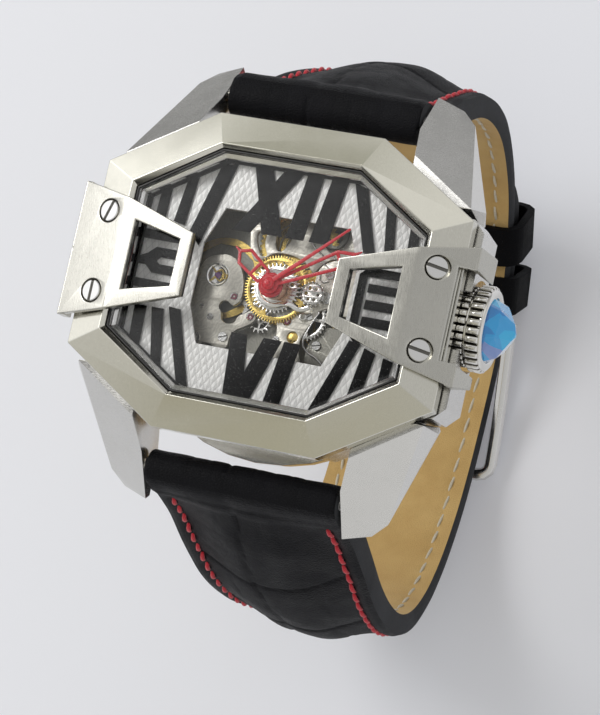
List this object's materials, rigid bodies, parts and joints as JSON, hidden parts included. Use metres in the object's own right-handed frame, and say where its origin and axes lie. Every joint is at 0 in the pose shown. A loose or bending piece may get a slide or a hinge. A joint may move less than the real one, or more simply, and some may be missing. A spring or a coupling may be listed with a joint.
{
  "type": "wristwatch",
  "caption": "Octagonal steel wristwatch with skeleton dial, screwed side brackets, stone-set crown, red hands and a buckled black leather strap closed in a loop.",
  "frame": {"origin": "centre of the case back's outer face", "axes": "+Z out of the dial, +X through the crown at three o'clock, +Y towards twelve o'clock"},
  "size_m": [0.0561, 0.074, 0.0858],
  "materials": {
    "brushed_steel": "fine brushed",
    "polished_steel": "polished",
    "screw_steel": "polished, lightly scratched",
    "movement_steel": "striped and satin",
    "dark_steel": "dark, satin",
    "gilt_brass": "gilt, satin",
    "hairspring_blue": "blued",
    "dial_silver": "silver, lozenge pattern",
    "numeral_black": "matt dark grey",
    "hand_red": "gloss red",
    "crystal": "clear, polished",
    "crown_stone": "blue, faceted",
    "gasket_black": "matt black",
    "black_leather": "matt black, embossed grain"
  },
  "bodies": {
    "case": {"case_middle": "brushed_steel", "bezel": "brushed_steel", "crystal_gasket": "gasket_black", "crystal": "crystal", "inner_flange": "polished_steel", "bracket_right": "brushed_steel", "bracket_pad_right": "gasket_black", "bracket_left": "brushed_steel", "bracket_pad_left": "gasket_black", "bracket_screw_right_upper": "screw_steel", "bracket_screw_right_lower": "screw_steel", "bracket_screw_left_upper": "screw_steel", "bracket_screw_left_lower": "screw_steel", "dial": "dial_silver", "numerals": "numeral_black", "movement_ring": "movement_steel", "main_plate": "movement_steel", "train_bridge": "movement_steel", "balance_cock": "movement_steel", "motion_cover": "movement_steel", "hour_spring": "polished_steel", "crown_tube": "polished_steel", "rotor_bearing": "polished_steel", "case_back": "polished_steel", "case_back_crystal": "crystal", "case_back_gasket": "gasket_black", "spring_bar_upper": "polished_steel", "spring_bar_lower": "polished_steel", "strap_upper": "black_leather", "strap_lower": "black_leather", "keeper_fixed": "black_leather", "buckle_frame": "polished_steel", "buckle_bar": "polished_steel"},
    "seconds_group": {"fourth_wheel": "gilt_brass", "seconds_hand": "hand_red"},
    "third_group": {"third_wheel": "gilt_brass"},
    "centre_group": {"centre_wheel": "gilt_brass"},
    "escape_group": {"escape_wheel": "movement_steel"},
    "barrel_group": {"barrel": "gilt_brass", "mainspring": "dark_steel"},
    "pallet_group": {"pallet_fork": "movement_steel"},
    "balance_group": {"balance_wheel": "gilt_brass", "hairspring": "hairspring_blue"},
    "minute_group": {"cannon_pinion": "movement_steel", "minute_hand": "hand_red"},
    "minute_wheel_group": {"minute_wheel": "gilt_brass"},
    "hour_group": {"hour_wheel": "gilt_brass", "hour_drive_wheel": "movement_steel", "hour_hand": "hand_red"},
    "intermediate_group": {"intermediate_wheel": "movement_steel"},
    "crown_slide_group": {"crown_gasket": "gasket_black"},
    "crown_group": {"crown": "polished_steel", "crown_stone": "crown_stone", "winding_stem": "movement_steel"},
    "winding_pinion_group": {"winding_pinion": "movement_steel"},
    "crown_wheel_group": {"crown_wheel": "movement_steel"},
    "ratchet_group": {"ratchet_wheel": "movement_steel"},
    "rotor_group": {"rotor": "movement_steel"},
    "tongue_group": {"buckle_tongue": "polished_steel"},
    "free_keeper_group": {"keeper_free": "black_leather"}
  },
  "joints": [
    {"name": "seconds_turn", "type": "hinge", "parent": "case", "child": "seconds_group", "pos_m": [0, 0, 0.0054], "axis": [0, 0, -1], "continuous": true},
    {"name": "third_turn", "type": "hinge", "parent": "case", "child": "third_group", "pos_m": [0.00423, -0.00154, 0.0057], "axis": [0, 0, -1], "continuous": true},
    {"name": "centre_turn", "type": "hinge", "parent": "case", "child": "centre_group", "pos_m": [0, 0, 0.006], "axis": [0, 0, -1], "continuous": true},
    {"name": "barrel_turn", "type": "hinge", "parent": "case", "child": "barrel_group", "pos_m": [0.00103, 0.00586, 0.00632], "axis": [0, 0, -1], "continuous": true},
    {"name": "escape_turn", "type": "hinge", "parent": "case", "child": "escape_group", "pos_m": [-0.00197, -0.00403, 0.00634], "axis": [0, 0, -1], "continuous": true},
    {"name": "pallet_rock", "type": "hinge", "parent": "case", "child": "pallet_group", "pos_m": [-0.00395, -0.0026, 0.0064], "axis": [0, 0, -1], "range_deg": [-5, 5]},
    {"name": "balance_swing", "type": "hinge", "parent": "case", "child": "balance_group", "pos_m": [-0.0083, 0.00055, 0.00568], "axis": [0, 0, -1], "range_deg": [-270, 270]},
    {"name": "minute_turn", "type": "hinge", "parent": "case", "child": "minute_group", "pos_m": [0, 0, 0.0075], "axis": [0, 0, -1], "continuous": true},
    {"name": "minute_wheel_turn", "type": "hinge", "parent": "case", "child": "minute_wheel_group", "pos_m": [0.00401, -0.00281, 0.0075], "axis": [0, 0, -1], "continuous": true},
    {"name": "hour_turn", "type": "hinge", "parent": "case", "child": "hour_group", "pos_m": [0, 0, 0.0084], "axis": [0, 0, -1], "continuous": true},
    {"name": "intermediate_turn", "type": "hinge", "parent": "case", "child": "intermediate_group", "pos_m": [0.00479, 0.00008, 0.009], "axis": [0, 0, -1], "continuous": true},
    {"name": "crown_pull", "type": "slide", "parent": "case", "child": "crown_slide_group", "axis": [1, 0, 0], "range_m": [0, 0.0015]},
    {"name": "crown_turn", "type": "hinge", "parent": "crown_slide_group", "child": "crown_group", "pos_m": [0.024, 0, 0.0058], "axis": [1, 0, 0], "continuous": true},
    {"name": "winding_pinion_turn", "type": "hinge", "parent": "case", "child": "winding_pinion_group", "pos_m": [0.0092, 0, 0.0058], "axis": [1, 0, 0], "continuous": true},
    {"name": "crown_wheel_turn", "type": "hinge", "parent": "case", "child": "crown_wheel_group", "pos_m": [0.00586, 0, 0.0041], "axis": [0, 0, 1], "continuous": true},
    {"name": "ratchet_turn", "type": "hinge", "parent": "case", "child": "ratchet_group", "pos_m": [0.00103, 0.00586, 0.0041], "axis": [0, 0, 1], "continuous": true},
    {"name": "rotor_swing", "type": "hinge", "parent": "case", "child": "rotor_group", "pos_m": [0, 0, 0.002], "axis": [0, 0, 1], "continuous": true},
    {"name": "tongue_lift", "type": "hinge", "parent": "case", "child": "tongue_group", "pos_m": [0, 0.009, -0.0612], "axis": [1, 0, 0], "range_deg": [0, 3]},
    {"name": "free_keeper_slide", "type": "slide", "parent": "case", "child": "free_keeper_group", "axis": [0, 0.8192, 0.5736], "range_m": [-0.0003, 0.0012]}
  ],
  "couplings": [
    {"joint": "third_turn", "follows": "seconds_turn", "ratio": -0.13333},
    {"joint": "centre_turn", "follows": "seconds_turn", "ratio": 0.016667},
    {"joint": "barrel_turn", "follows": "seconds_turn", "ratio": -0.0027778},
    {"joint": "escape_turn", "follows": "seconds_turn", "ratio": -10},
    {"joint": "minute_wheel_turn", "follows": "minute_turn", "ratio": -0.5},
    {"joint": "hour_turn", "follows": "minute_turn", "ratio": 0.083333},
    {"joint": "intermediate_turn", "follows": "minute_turn", "ratio": -0.16667},
    {"joint": "winding_pinion_turn", "follows": "crown_turn", "ratio": 1},
    {"joint": "crown_wheel_turn", "follows": "crown_turn", "ratio": 0.6},
    {"joint": "ratchet_turn", "follows": "crown_turn", "ratio": -0.5}
  ]
}
